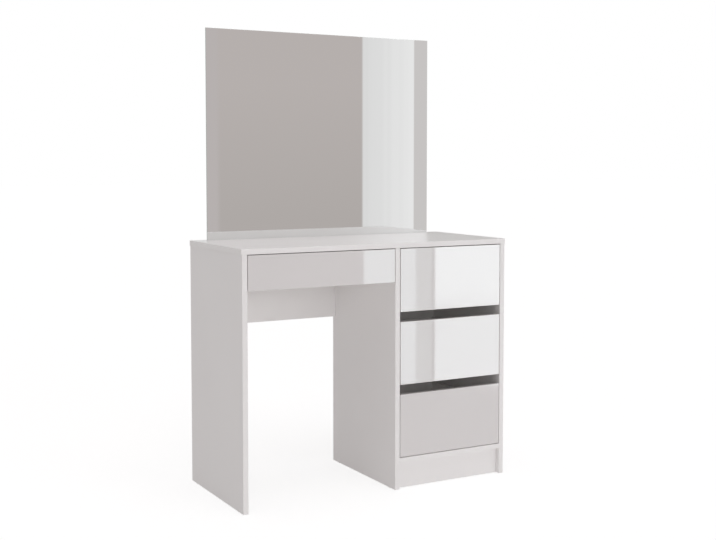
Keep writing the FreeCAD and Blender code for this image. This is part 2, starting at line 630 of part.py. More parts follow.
# Drawers
def drawer(plan):
    """One drawer with its box, fittings, runners and rollers."""
    name = plan.name
    box_x = f"({plan.inside_x} + runner_gap)"
    box_width = f"({plan.inside_width} - 2 * runner_gap)"
    box_z = f"({plan.front_z} + {plan.lift})"
    sheet_z = f"({box_z} + drawer_bottom_rise)"
    floor = f"({sheet_z} + sheet)"
    right_side_x = f"({box_x} + {box_width} - drawer_wall)"
    inner_width = f"({box_width} - 2 * drawer_wall)"
    base = runner_base(plan)

    half_wall = value("drawer_wall") / 2
    left_outer, right_outer = value(box_x), value(f"({box_x} + {box_width})")
    box_y, low_z = value(BOX_Y), value(box_z)
    middles = ((left_outer + half_wall, LEFT), (right_outer - half_wall, RIGHT))
    bolts = [at((middle, box_y, low_z + up), BACK, outward) for middle, outward in middles for up in plan.cams]
    faces = [cam_face(place, value("drawer_cam_setback"), value("drawer_wall")) for place in bolts]
    rear = box_y + value("drawer_depth") - half_wall
    corner_screws = [at((outer, rear, low_z + up), inward, UP)
                     for outer, inward in ((left_outer, RIGHT), (right_outer, LEFT)) for up in plan.screws]
    rail_screws = runner_places(plan, DRAWER_WEB, DRAWER_SCREWS, False)
    fittings = (copies(SOLIDS["drawer_bolt"], bolts) + copies(SOLIDS["drawer_cam"], faces)
                + copies(SOLIDS["back_screw"], corner_screws) + copies(SOLIDS["runner_screw"], rail_screws))
    finish(group(f"{name}_drawer_fittings", fittings), f"{name}_drawer_fittings")
    rail_holes = drillings(f"{name}_rail_holes", copies(SOLIDS["runner_screw_hole"], rail_screws))
    tools = [
        drillings(f"{name}_bolt_holes", copies(SOLIDS["drawer_bolt_hole"], bolts)),
        drillings(f"{name}_cam_holes", copies(SOLIDS["drawer_cam_hole"], faces)),
        drillings(f"{name}_screw_holes", copies(SOLIDS["back_screw_hole"], corner_screws)),
    ]
    groove = block(f"{name}_groove",
                   (f"({inner_width} + 2 * {GROOVE_DEPTH})", f"(drawer_depth + {GROOVE_DEPTH})", GROOVE_WIDTH),
                   (f"({box_x} + drawer_wall - {GROOVE_DEPTH})", f"({BOX_Y} - {GROOVE_DEPTH})",
                    f"({sheet_z} - fit_play)"))

    panel(f"{name}_drawer_front", (f"({plan.inside_width} - 2 * reveal)", "board", plan.front_height),
          (f"({plan.inside_x} + reveal)", FRONT_Y, plan.front_z), tools + [groove])
    side_size = ("drawer_wall", "drawer_depth", plan.side_height)
    for side, side_x in (("left", box_x), ("right", right_side_x)):
        panel(f"{name}_drawer_{side}_side", side_size, (side_x, BOX_Y, box_z), tools + [rail_holes, groove])
    back_height = f"({plan.side_height} - drawer_bottom_rise - sheet)"
    panel(f"{name}_drawer_back", (inner_width, "drawer_wall", back_height),
          (f"({box_x} + drawer_wall)", f"({BOX_Y} + drawer_depth - drawer_wall)", floor), tools)
    finish(block(f"{name}_drawer_bottom",
                 (f"({inner_width} + 2 * tongue)", "(drawer_depth + tongue)", "sheet"),
                 (f"({box_x} + drawer_wall - tongue)", f"({BOX_Y} - tongue)", sheet_z)),
           f"{name}_drawer_bottom")

    sides = [(side, facing(plan, side)) for side in ("left", "right")]
    pair(f"{name}_cabinet_runners",
         [cabinet_runner(f"{name}_cabinet_runner_{side}", low_x, base) for side, low_x in sides], runner_holes)
    pair(f"{name}_drawer_runners",
         [drawer_runner(f"{name}_drawer_runner_{side}", low_x, base) for side, low_x in sides], rail_holes)
    rollers = (("front", FRONT_AXLE_Y, front_axle_z(base)), ("rear", REAR_AXLE_Y, rear_axle_z(base)))
    for end, axle_y, axle_z in rollers:
        roller_pair(f"{name}_{end}_rollers", plan, axle_y, axle_z)


for plan in DRAWERS:
    drawer(plan)

doc.recompute()
for item in doc.Objects:
    if "Invalid" in item.State or "Error" in item.State:
        raise RuntimeError(f"{item.Name} failed: {item.State}")
for item in finished:
    if item.Shape.isNull() or not item.Shape.isValid():
        raise RuntimeError(f"{item.Label} has no valid shape")

os.makedirs("parts", exist_ok=True)
for item in finished:
    item.Shape.exportStep(f"parts/{item.Label}.step")
print(len(finished), "sub-parts written")
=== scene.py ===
import json
import math
from collections import namedtuple

import bpy
import numpy as np
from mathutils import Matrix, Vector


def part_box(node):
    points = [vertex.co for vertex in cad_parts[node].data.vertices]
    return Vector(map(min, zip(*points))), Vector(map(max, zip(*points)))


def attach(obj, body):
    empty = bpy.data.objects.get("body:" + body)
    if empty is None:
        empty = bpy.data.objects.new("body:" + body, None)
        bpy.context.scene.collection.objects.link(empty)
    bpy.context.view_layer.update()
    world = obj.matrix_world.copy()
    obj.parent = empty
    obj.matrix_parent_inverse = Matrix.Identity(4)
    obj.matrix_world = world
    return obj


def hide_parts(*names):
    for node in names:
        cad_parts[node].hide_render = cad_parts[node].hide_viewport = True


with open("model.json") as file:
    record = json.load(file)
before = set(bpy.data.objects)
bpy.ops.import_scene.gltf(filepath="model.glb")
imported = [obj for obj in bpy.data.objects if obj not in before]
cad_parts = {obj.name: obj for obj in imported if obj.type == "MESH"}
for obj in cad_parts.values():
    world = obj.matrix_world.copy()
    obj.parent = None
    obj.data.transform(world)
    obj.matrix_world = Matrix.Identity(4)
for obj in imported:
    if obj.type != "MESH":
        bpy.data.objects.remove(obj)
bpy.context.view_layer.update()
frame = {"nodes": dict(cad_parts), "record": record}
scene = bpy.context.scene
nodes = frame["nodes"]
slot_of = {part["node"]: part["material_slot"] for part in frame["record"]["subparts"]}

# The camera, in front of the table's left corner: metres and degrees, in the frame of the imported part.
IMAGE_WIDTH = 716
FOCAL_PIXELS = 1133.68
SENSOR = 36.0
CAMERA_PLACE = (-1.6882, -3.0907, 0.9963)
CAMERA_YAW = 29.101
CAMERA_PITCH = 3.377
CAMERA_SHIFT = -0.06
CAMERA_REACH = 200.0

# The light: an even sky and three soft lamps.
WHITE = (1.0, 1.0, 1.0)
SKY = (0.461, 0.440, 0.440)
LIGHT_BOUNCES = 16
# Each lamp: strength, bearing from straight ahead towards the right, height above the horizon, breadth.
LAMPS = {
    "key": (0.395, 20.0, 8.0, 36.0),
    "fill": (0.265, -18.0, 9.0, 12.0),
    "top": (0.83, 0.0, 80.0, 60.0),
}
# The floor: the tone and glow that light the table from below, and those that the camera sees.
FLOOR_TONE = (0.90, 0.89, 0.885)
FLOOR_GLOW = 0.06
FLOOR_TONE_SEEN = (0.36, 0.36, 0.36)
FLOOR_GLOW_SEEN = 0.738
FLOOR_REACH = 40.0

# What the mirror and the gloss see of the studio, as the colours that its parts shine with.
WALL = (0.557, 0.519, 0.502)
WALL_HIGH = (0.584, 0.536, 0.521)
WALL_LOW = (0.532, 0.492, 0.4755)
WALL_CORNER = (0.588, 0.544, 0.537)
STUDIO_FLOOR = (0.62, 0.605, 0.595)
CEILING = (0.96, 0.93, 0.925)
CEILING_LAMP = (3.75, 3.85, 3.9)
BACK_WALL = (0.40, 0.405, 0.385)
SCREEN_LEFT = (0.855, 0.850, 0.850)
SCREEN_RIGHT = (0.990, 0.984, 0.984)
SCREEN_LOW = (4.1, 4.6, 4.7)
POST = (0.710, 0.682, 0.675)
POST_LOW = (1.5, 1.75, 1.7)
LAMP = (6.6, 7.2, 7.3)
LAMP_LOW = (5.2, 5.7, 5.8)
LAMP_RIM = (0.02, 0.02, 0.02)
STRIP = (3.3, 3.5, 3.5)
STRIP_BEHIND = (1.15, 1.19, 1.18)
# Where they stand: the bearings between which they reach, in degrees, and the blur at both. The mirror is
# further back than the drawer fronts, so it sees them at other bearings.
MIRROR_SCREEN_SPAN = (29.325, 31.935, 0.06)
MIRROR_POST_SPAN = (MIRROR_SCREEN_SPAN[1], 36.0, 0.05)
SCREEN_SPAN = (29.39, 32.05, 0.05)
LAMP_SPAN = (33.0, 44.0, 0.02)
POST_SPAN = (SCREEN_SPAN[1], LAMP_SPAN[0], 0.03)
RIM_WIDTH = 0.17
RIM_SPAN = (LAMP_SPAN[0] - RIM_WIDTH, LAMP_SPAN[0], 0.02)
CEILING_LAMP_SPAN = (31.4, 33.2, 0.3)
CORNER_FADE = (22.25, 21.95)
# The slopes, as rise over level run, between which one gives way to the next.
WALL_FADE = (-0.052, 0.066)
FLOOR_FADE = (-0.10, -0.42)
LOW_FADE = (-0.067, -0.075)
FOOT_FADE = (-0.196, -0.202)
LAMP_TOP_FADE = (-0.03, -0.05)
LAMP_FADE = (-0.112, -0.135)
CEILING_FADE = (0.16, 0.22)
# How far a direction points behind the table where the front of the studio gives way to its back.
BEHIND_FADE = (-0.05, 0.05)
# Each strip lamp: its bearing, and the slope under which the gloss sees it.
STRIPS = ((-75.0, -0.05), (-60.0, -0.05), (-45.0, -0.05), (-30.0, -0.05), (-15.0, -0.05), (0.0, -0.15),
          (15.0, -0.27), (38.5, -0.27), (66.0, -0.05))
STRIPS_BEHIND = ((108.0, 0.25), (134.0, 0.25), (160.0, 0.25))
STRIP_BREADTH = 6.0
STRIP_BLUR = 0.4
STRIP_TOP_BLUR = 0.05
# The folds of the screen: how many to a degree, the part of a noise that makes them, and their depth.
SCREEN_FOLDS = 2.6
FOLD_NOISE = (0.25, 0.75)
FOLD_DEPTH = 0.08

# Cosines of the angle to a board's axis, between which its surface passes from one face to the next.
SQUARE_ON = (0.55, 0.85)
EDGE_ON = (0.45, 0.15)
ROUNDED_OFF = (0.998, 0.93)
# The part of its range in which a noise has nearly all its values.
NOISE_SPAN = (0.3, 0.7)
# The sockets of a Mix node for its factor and its two colours, and the one for the colour that it makes.
MIX_INPUTS = (0, 6, 7)
MIX_OUTPUT = 2
NEARLY_ZERO = 1e-6


def placed(name, data):
    """A new object in the scene."""
    made = bpy.data.objects.new(name, data)
    scene.collection.objects.link(made)
    return made


def join(tree, socket, value):
    """Links an input to another node's output, or sets it to a value; a colour gets its alpha here."""
    if isinstance(value, bpy.types.NodeSocket):
        tree.links.new(value, socket)
    elif socket.type == "RGBA":
        socket.default_value = (*value, 1.0)
    else:
        socket.default_value = value


def add(tree, kind, inputs=None, **settings):
    """A shader node with its settings; each input takes a value, or another node's output as a link."""
    node = tree.nodes.new("ShaderNode" + kind)
    for name, value in settings.items():
        setattr(node, name, value)
    for name, value in (inputs or {}).items():
        join(tree, node.inputs[name], value)
    return node


def calc(tree, operation, *values):
    """One Math node's output."""
    return add(tree, "Math", dict(enumerate(values)), operation=operation).outputs[0]


def vector_calc(tree, operation, *values):
    """One Vector Math node's outputs."""
    return add(tree, "VectorMath", dict(enumerate(values)), operation=operation).outputs


def times(tree, value, amount):
    """A value times an amount."""
    return calc(tree, "MULTIPLY", value, amount)


def rest_of(tree, value):
    """What a value leaves of one."""
    return calc(tree, "SUBTRACT", 1.0, value)


def ramp(tree, value, low, high, start=0.0, end=1.0, smooth=True):
    """A value that goes from start to end while the input goes from low to high."""
    inputs = {"Value": value, "From Min": low, "From Max": high, "To Min": start, "To Max": end}
    kind = "SMOOTHSTEP" if smooth else "LINEAR"
    return add(tree, "MapRange", inputs, interpolation_type=kind).outputs["Result"]


def blend(tree, factor, first, second):
    """The colour between two colours."""
    inputs = dict(zip(MIX_INPUTS, (factor, first, second)))
    return add(tree, "Mix", inputs, data_type="RGBA").outputs[MIX_OUTPUT]


def object_place(tree):
    """A point's place in the frame, which goes with the piece."""
    return add(tree, "TexCoord").outputs["Object"]


def noise(tree, place, scale, detail, roughness=0.5):
    """A Noise texture's outputs."""
    inputs = {"Vector": place, "Scale": scale, "Detail": detail, "Roughness": roughness}
    return add(tree, "TexNoise", inputs).outputs


def ribs(tree, place, bands, scale, distortion=0.0):
    """Waves that run along each of the named axes."""
    inputs = {"Vector": place, "Scale": scale, "Distortion": distortion}
    return [add(tree, "TexWave", inputs, bands_direction=band).outputs["Fac"] for band in bands]


def new_group(name, inputs, make):
    """A shader group: inputs with their defaults, numbers or vectors, and the number outputs that a
    function makes from them."""
    group = bpy.data.node_groups.new(name, "ShaderNodeTree")
    for label, default in inputs.items():
        kind = "NodeSocketVector" if isinstance(default, tuple) else "NodeSocketFloat"
        group.interface.new_socket(label, in_out="INPUT", socket_type=kind).default_value = default
    results = make(group, group.nodes.new("NodeGroupInput").outputs)
    for label in results:
        group.interface.new_socket(label, in_out="OUTPUT", socket_type="NodeSocketFloat")
    made = group.nodes.new("NodeGroupOutput")
    for label, socket in results.items():
        group.links.new(socket, made.inputs[label])
    return group


def board_faces(group, given):
    """Which face of a square-cut board a point is on, from the direction that the surface looks to: its
    two broad faces, its narrow edges, and the rounding between them, where no axis of the board is met
    squarely."""
    normal = add(group, "TexCoord").outputs["Normal"]
    along = vector_calc(group, "DOT_PRODUCT", normal, given["Axis"])["Value"]
    size = vector_calc(group, "ABSOLUTE", normal)["Vector"]
    x, y, z = add(group, "SeparateXYZ", {0: size}).outputs
    square = calc(group, "MAXIMUM", calc(group, "MAXIMUM", x, y), z)
    return {
        "Toward": ramp(group, along, *SQUARE_ON),
        "Away": ramp(group, along, *(-cosine for cosine in SQUARE_ON)),
        "Narrow": ramp(group, calc(group, "ABSOLUTE", along), *EDGE_ON),
        "Rounding": ramp(group, square, *ROUNDED_OFF),
    }


def surface_grain(group, given):
    """Noise at three sizes over the piece: a slow drift of tone, handling marks and fine grain."""
    place = vector_calc(group, "MULTIPLY", object_place(group), given["Stretch"])["Vector"]
    return {
        "Drift": noise(group, place, scale=3.0, detail=2.0)["Fac"],
        "Marks": noise(group, place, scale=38.0, detail=6.0, roughness=0.62)["Fac"],
        "Grain": noise(group, place, scale=given["Fine"], detail=3.0)["Fac"],
    }


BOARD_FACES = new_group("board_faces", {"Axis": (0, 0, 1)}, board_faces)
GRAIN = new_group("surface_grain", {"Fine": 900.0, "Stretch": (1, 1, 1)}, surface_grain)


def material(name):
    """A new material, its tree and its Principled shader."""
    made = bpy.data.materials.new(name)
    made.use_nodes = True
    return made, made.node_tree, made.node_tree.nodes["Principled BSDF"]


def place_group(tree, group, **inputs):
    """A shader group set into a material, with its own values."""
    return add(tree, "Group", inputs, node_tree=group).outputs


def dress(tree, shader, colour, roughness, height=None, strength=None, distance=None, **inputs):
    """Gives a material's shader its colour, roughness, bump and other inputs, as values or links."""
    inputs.update(Base_Color=colour, Roughness=roughness)
    if height is not None:
        bump = add(tree, "Bump", {"Height": height, "Strength": strength, "Distance": distance})
        inputs["Normal"] = bump.outputs["Normal"]
    for name, value in inputs.items():
        join(tree, shader.inputs[name.replace("_", " ")], value)


# Pairs of tones, between which a finish varies.
BOARD_TONES = (0.843, 0.831, 0.830), (0.857, 0.846, 0.845)
FRONT_TONES = (0.700, 0.682, 0.682), (0.712, 0.694, 0.694)
DRAWER_TONES = (0.905, 0.898, 0.893), (0.922, 0.915, 0.910)
RAW_HARDBOARD_TONES = (0.200, 0.118, 0.062), (0.345, 0.220, 0.126)
PALE_HARDBOARD_TONES = (0.84, 0.83, 0.81), (0.90, 0.89, 0.87)
MIRROR_PAINT_TONES = (0.22, 0.24, 0.235), (0.27, 0.29, 0.285)
GLASS_EDGE_TONES = (0.42, 0.50, 0.47), (0.52, 0.60, 0.57)
ZINC_TONES = (0.62, 0.635, 0.65), (0.80, 0.81, 0.815)
POWDER_COAT_TONES = (0.83, 0.82, 0.79), (0.865, 0.855, 0.83)
ROLLER_TONES = (0.74, 0.73, 0.70), (0.80, 0.79, 0.76)
GLIDE_TONES = (0.70, 0.69, 0.67), (0.77, 0.76, 0.74)
BEECH_TONES = (0.66, 0.46, 0.28), (0.49, 0.31, 0.17)
# Single tones: bands, backs and worn places.
EDGE_BAND = (0.850, 0.840, 0.838)
RUBBED_BOARD = (0.78, 0.768, 0.765)
FRONT_BACK = (0.86, 0.85, 0.845)
SILVERING = (0.795, 0.802, 0.800)
HANDLED_ZINC = (0.58, 0.59, 0.60)
CUT_ZINC = (0.45, 0.46, 0.48)
THIN_COAT = (0.60, 0.59, 0.57)
# How far the roundings wear to those, handling dulls zinc, and its crystals are bent.
BOARD_WEAR = 0.35
ZINC_WEAR = 0.4
COAT_WEAR = 0.5
ZINC_HANDLING = 0.35
CRYSTAL_BEND = (0.012, 0.012, 0.012)
# Raw hardboard: the shares of what makes its fibre, their range, and how dark its weave is.
FIBRE_MARKS = 0.6
FIBRE_CLUMPS = 0.4
FIBRE_GRAIN = 0.5
FIBRE_SPAN = (0.15, 0.85)
WEAVE_SHADE = 0.25


def melamine(name, axis):
    """White melamine board: faintly pearled broad faces, and smooth plastic bands on the narrow edges."""
    made, tree, shader = material(name)
    faces = place_group(tree, BOARD_FACES, Axis=axis)
    grain = place_group(tree, GRAIN, Fine=900.0)
    tone = blend(tree, ramp(tree, grain["Drift"], *NOISE_SPAN), *BOARD_TONES)
    tone = blend(tree, faces["Narrow"], tone, EDGE_BAND)
    tone = blend(tree, times(tree, faces["Rounding"], BOARD_WEAR), tone, RUBBED_BOARD)
    rough = ramp(tree, grain["Marks"], *NOISE_SPAN, start=0.30, end=0.37)
    height = times(tree, grain["Grain"], rest_of(tree, faces["Narrow"]))
    dress(tree, shader, tone, rough, height, strength=0.10, distance=0.00006, IOR=1.36)
    return made


def gloss_front():
    """Drawer front: high-gloss lacquer on the face and edges, matt white towards the drawer."""
    made, tree, shader = material("gloss_front")
    faces = place_group(tree, BOARD_FACES, Axis=(0, 1, 0))
    grain = place_group(tree, GRAIN, Fine=260.0)
    tone = blend(tree, ramp(tree, grain["Drift"], *NOISE_SPAN), *FRONT_TONES)
    tone = blend(tree, faces["Toward"], tone, FRONT_BACK)
    rough = ramp(tree, faces["Toward"], 0.0, 1.0, start=0.30, end=0.42)
    dress(tree, shader, tone, rough, grain["Grain"], strength=0.02, distance=0.00002, IOR=1.3,
          Coat_Weight=rest_of(tree, faces["Toward"]), Coat_Roughness=0.02, Coat_IOR=1.5)
    return made


def drawer_board():
    """Drawer side and back: white foil with a fine linen press."""
    made, tree, shader = material("drawer_board")
    grain = place_group(tree, GRAIN, Fine=700.0)
    linen = calc(tree, "MAXIMUM", *ribs(tree, object_place(tree), ("Z", "Y"), scale=180.0, distortion=1.5))
    tone = blend(tree, ramp(tree, grain["Drift"], *NOISE_SPAN), *DRAWER_TONES)
    rough = ramp(tree, grain["Marks"], *NOISE_SPAN, start=0.42, end=0.54)
    dress(tree, shader, tone, rough, linen, strength=0.10, distance=0.00008)
    return made


def hardboard(name, axis, tones):
    """Thin hardboard: white lacquer on the side that shows. The other side is pressed on a wire screen,
    which leaves its weave in a surface mottled by clumps of fibre."""
    dark, light = tones
    made, tree, shader = material(name)
    faces = place_group(tree, BOARD_FACES, Axis=axis)
    grain = place_group(tree, GRAIN, Fine=520.0)
    place = object_place(tree)
    weave = times(tree, *ribs(tree, place, ("X", "Z" if axis[1] else "Y"), scale=200.0))
    clumps = noise(tree, place, scale=55.0, detail=4.0)["Fac"]
    fibre = calc(tree, "ADD", times(tree, grain["Marks"], FIBRE_MARKS), times(tree, clumps, FIBRE_CLUMPS))
    fibre = calc(tree, "ADD", fibre, times(tree, calc(tree, "SUBTRACT", grain["Grain"], 0.5), FIBRE_GRAIN))
    raw = blend(tree, ramp(tree, fibre, *FIBRE_SPAN, smooth=False), dark, light)
    raw = blend(tree, times(tree, weave, WEAVE_SHADE), raw, dark)
    tone = blend(tree, faces["Toward"], raw, blend(tree, grain["Drift"], *DRAWER_TONES))
    rough = ramp(tree, faces["Toward"], 0.0, 1.0, start=0.82, end=0.40)
    press = times(tree, weave, rest_of(tree, faces["Toward"]))
    height = calc(tree, "SUBTRACT", grain["Grain"], press)
    dress(tree, shader, tone, rough, height, strength=0.3, distance=0.00012)
    return made


def mirror_glass():
    """Float glass silvered behind: a mirror to the front, green ground edges, grey paint on the back."""
    made, tree, shader = material("mirror_glass")
    faces = place_group(tree, BOARD_FACES, Axis=(0, 1, 0))
    grain = place_group(tree, GRAIN, Fine=400.0)
    paint = blend(tree, grain["Marks"], *MIRROR_PAINT_TONES)
    edge = blend(tree, grain["Marks"], *GLASS_EDGE_TONES)
    tone = blend(tree, faces["Away"], edge, SILVERING)
    tone = blend(tree, faces["Toward"], tone, paint)
    rough = ramp(tree, faces["Away"], 0.0, 1.0, start=0.30, end=0.0)
    dress(tree, shader, tone, rough, Metallic=faces["Away"], IOR=1.52)
    return made


def plated_steel():
    """Zinc-coated steel: crystals each of their own tone and dullness, drawing lines, darker edges."""
    made, tree, shader = material("plated_steel")
    faces = place_group(tree, BOARD_FACES, Axis=(0, 1, 0))
    grain = place_group(tree, GRAIN, Fine=600.0, Stretch=(1, 1, 0.06))
    place = object_place(tree)
    bend = noise(tree, place, scale=60.0, detail=3.0)["Color"]
    bent = vector_calc(tree, "MULTIPLY_ADD", bend, CRYSTAL_BEND, place)["Vector"]
    crystal = add(tree, "TexVoronoi", {"Vector": bent, "Scale": 85.0}).outputs["Color"]
    crystal = add(tree, "SeparateColor", {0: crystal}).outputs[0]
    tone = blend(tree, crystal, *ZINC_TONES)
    tone = blend(tree, times(tree, grain["Marks"], ZINC_HANDLING), tone, HANDLED_ZINC)
    tone = blend(tree, times(tree, faces["Rounding"], ZINC_WEAR), tone, CUT_ZINC)
    dull = ramp(tree, crystal, 0.0, 1.0, start=0.40, end=0.31)
    rough = calc(tree, "ADD", dull, ramp(tree, grain["Marks"], low=0.4, high=0.8, end=0.1))
    dress(tree, shader, tone, rough, grain["Grain"], strength=0.15, distance=0.00004, Metallic=0.95)
    return made


def coated_steel():
    """Runner steel under a cream powder coat with its orange-peel skin, thin at the folds."""
    made, tree, shader = material("coated_steel")
    faces = place_group(tree, BOARD_FACES, Axis=(0, 1, 0))
    grain = place_group(tree, GRAIN, Fine=450.0)
    tone = blend(tree, grain["Drift"], *POWDER_COAT_TONES)
    tone = blend(tree, times(tree, faces["Rounding"], COAT_WEAR), tone, THIN_COAT)
    rough = ramp(tree, grain["Marks"], *NOISE_SPAN, start=0.31, end=0.42)
    dress(tree, shader, tone, rough, grain["Grain"], strength=0.2, distance=0.00008)
    return made


def moulded_plastic(name, tones, least_rough, most_rough):
    """Moulded plastic with a soft, slightly scuffed skin."""
    made, tree, shader = material(name)
    grain = place_group(tree, GRAIN, Fine=1200.0)
    tone = blend(tree, grain["Marks"], *tones)
    rough = ramp(tree, grain["Marks"], *NOISE_SPAN, least_rough, most_rough)
    dress(tree, shader, tone, rough, grain["Grain"], strength=0.12, distance=0.00005)
    return made


def beech_wood():
    """Turned beech: straight pale grain along the dowel with short darker flecks."""
    made, tree, shader = material("beech_wood")
    grain = place_group(tree, GRAIN, Fine=900.0, Stretch=(0.12, 1, 1))
    tone = blend(tree, ramp(tree, grain["Grain"], low=0.35, high=0.7), *BEECH_TONES)
    rough = ramp(tree, grain["Marks"], *NOISE_SPAN, start=0.50, end=0.66)
    dress(tree, shader, tone, rough, grain["Grain"], strength=0.2, distance=0.0001)
    return made


def broad_axis(node):
    """The axis across a board: the way in which it is thinnest."""
    low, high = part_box(node)
    size = [high[i] - low[i] for i in range(3)]
    return size.index(min(size))


AXES = ((1, 0, 0), (0, 1, 0), (0, 0, 1))
boards = [melamine(f"melamine_{letter}", axis) for letter, axis in zip("xyz", AXES)]
finishes = {
    "white_gloss": gloss_front(),
    "drawer_white": drawer_board(),
    "mirror_glass": mirror_glass(),
    "zinc_steel": plated_steel(),
    "white_steel": coated_steel(),
    "roller_plastic": moulded_plastic("roller_plastic", ROLLER_TONES, 0.30, 0.42),
    "glide_plastic": moulded_plastic("glide_plastic", GLIDE_TONES, 0.40, 0.55),
    "beech": beech_wood(),
}
# Upright and level sheets, by the axis across them.
sheets = {
    1: hardboard("hardboard_back", (0, -1, 0), RAW_HARDBOARD_TONES),
    2: hardboard("hardboard_bottom", (0, 0, 1), PALE_HARDBOARD_TONES),
}


def finish_of(node):
    """The material of a CAD node: boards and sheets by the way that they face, the rest by their slot."""
    slot = slot_of[node]
    if slot == "white_melamine":
        return boards[broad_axis(node)]
    if slot == "white_hardboard":
        return sheets[broad_axis(node)]
    return finishes[slot]


for name, node in nodes.items():
    node.data.materials.clear()
    node.data.materials.append(finish_of(name))

# Hardware, in metres. The frame gives the places and outer sizes; these are the forms within them.
# Runners of folded steel and their riveted axles.
STEEL = 0.0012
FOLD_RADIUS = 0.0012
FOLD_POINTS = 6
TRACK_LIP = 0.0032
COVER_WIDTH = 0.008
MOUTH_BEAD = 0.00185
MOUTH_TAPER = (0.041, 0.047)
FLANGE_REACH = 0.0095
FOOT_WIDTH = 0.0132
AXLE = 0.0025
AXLE_HEAD = 0.0036
RIVET = 0.0006
RIVET_ROUNDING = (0.92, 0.6)
RIVET_REACH = 0.0101
CABINET_COLLAR = 0.0015
DRAWER_COLLAR = 0.0024
# Rollers. A spoke starts where the cosine of its angle passes the start, and is whole after the rise.
ROLLER_BORE = 0.00255
ROLLER_HUB = 0.0052
ROLLER_RIM = 0.0022
ROLLER_HOLLOW = 0.0016
ROLLER_SHOULDER = 0.0007
ROLLER_DRAFT = 0.0002
BORE_CHAMFER = 0.0003
SHOULDER_POINTS = 5
ROLLER_SPOKES = 6
SPOKE_POINTS = 16
SPOKE_START = 0.55
SPOKE_RISE = 0.3
SPOKE_HEIGHT = 0.7
# Screws. The cross's floor and the foot of its wall: shares of its radius and of the head's depth.
SCREW_CROSS = 0.58
CROSS_FLOOR = (0.3, 0.7)
CROSS_FOOT = (0.9, 0.1)
DOME_ROWS = (0.0, 0.3, 0.65, 1.0)
POINT_SHARES = (0.75, 0.1)
SHANK = 0.0016
THREAD_PITCH = 0.0016
PITCH_ROWS = 4
THREAD_DEPTH = 0.0004
SCREW_CROWN = 0.0006
# Cam bolts. The neck and the threaded end have a share of the radius.
BOLT_NECK = 0.62
BOLT_END = 0.7
BALL_START = 0.15
BALL_ROWS = 8
BOLT_THREAD = 0.011
BOLT_THREAD_MARGIN = 0.0006
BOLT_COLLAR = 0.0015
BOLT_TAPER = 0.0005
BOLT_HEAD = 0.006
# Radii and a length between those of two kinds of fitting, by which they are told apart.
WIDEST_BOLT = 0.0032
WIDEST_SCREW = 0.0045
LONGEST_RUNNER_SCREW = 0.02
# Cams: the cross and its floor as shares of the radius, and the depths of cross, sunk face and rounded rim.
CAM_CROSS = 0.5
CAM_CROSS_FLOOR = 0.45
CAM_CROSS_DEPTH = 0.0018
CAM_SUNK = 0.00035
CAM_RIM = 0.0004
# Dowels, floor glides and mirror straps.
DOWEL_FLUTES = 14
FLUTE_POINTS = 4
FLUTE_DEPTH = 0.00022
DOWEL_CHAMFER = 0.001
GLIDE_POINTS = 40
GLIDE_SOLE = 0.62
GLIDE_ROUNDING = 0.8
GLIDE_CAP = 0.002
GLIDE_NAIL = 0.0012
NAIL_POINT = 0.002
STRAP_CORNER = 0.008
STRAP_EDGE = 0.0004
SHARP_EDGE = math.radians(32)
ROUND_POINTS = 24
BEND_POINTS = 7
DRAWERS = ("knee", "top", "middle", "bottom")
# Shares of a fitting's radius: past the first are the points of its edge, within the second its slot's.
EDGE_SHARE = 0.97
SLOT_SHARE = 0.9
# Decimals of a metre to which points are the same.
SAME_PLACE = 6

# A turned fitting: the middle of its outer face, its axes with the last pointing inward, length and radius.
Fitting = namedtuple("Fitting", "face axes length radius")


def solids(node):
    """The separate solids of a CAD node, each as the array of its points. Points that share a triangle
    take the lowest number among them, again and again until no number changes."""
    mesh = nodes[node].data
    mesh.calc_loop_triangles()
    places = np.empty(3 * len(mesh.vertices), dtype=np.float32)
    mesh.vertices.foreach_get("co", places)
    corners = np.empty(3 * len(mesh.loop_triangles), dtype=np.int32)
    mesh.loop_triangles.foreach_get("vertices", corners)
    points, number = np.unique(places.reshape(-1, 3).round(SAME_PLACE), axis=0, return_inverse=True)
    triangles = number.ravel()[corners].reshape(-1, 3)
    label = np.arange(len(points))
    while True:
        lowest = label.copy()
        np.minimum.at(lowest, triangles, label[triangles].min(axis=1)[:, None])
        lowest = lowest[lowest]
        if np.array_equal(lowest, label):
            return [points[label == one] for one in np.unique(label)]
        label = lowest


def fitting(points, widest_outside=True):
    """Where a turned fitting sits. It is turned about the side of its box that differs from the other
    two. A screw is widest at its outer face; a cam has its driver slot there instead, whose points are
    the ones within its radius."""
    low, high = points.min(axis=0), points.max(axis=0)
    size = high - low
    axis = np.argmax(np.abs(size - np.median(size)))
    middle = (low + high) / 2
    across = np.linalg.norm(np.delete(points - middle, axis, axis=1), axis=1)
    radius = across.max()
    outer = across > EDGE_SHARE * radius if widest_outside else across < SLOT_SHARE * radius
    inward = np.zeros(3)
    inward[axis] = 1.0 if points[outer, axis].mean() < middle[axis] else -1.0
    first = np.roll(np.abs(inward), 1)
    face = middle - inward * size[axis] / 2
    return Fitting(face, np.stack((first, np.cross(inward, first), inward)), size[axis], radius)


def set_in(fittings, shape):
    """A shape of grid points, made about its own z axis, copied to the face and axes of each fitting."""
    faces = np.array([one.face for one in fittings])
    axes = np.array([one.axes for one in fittings])
    return np.einsum("rcl,klw->krcw", shape, axes) + faces[:, None, None, :]


def turned(radius, height, angle):
    """Grid points round an axis: each row has a radius and a height along z, each column an angle."""
    radius, height, angle = np.broadcast_arrays(radius, height, angle)
    return np.stack((radius * np.cos(angle), radius * np.sin(angle), height), axis=-1)


def round_angles(count):
    """Angles that divide a full turn evenly."""
    return np.linspace(0, 2 * np.pi, count, endpoint=False)


def column(*values):
    """Values one under the other, one for each row of a grid."""
    return np.array(values)[:, None]


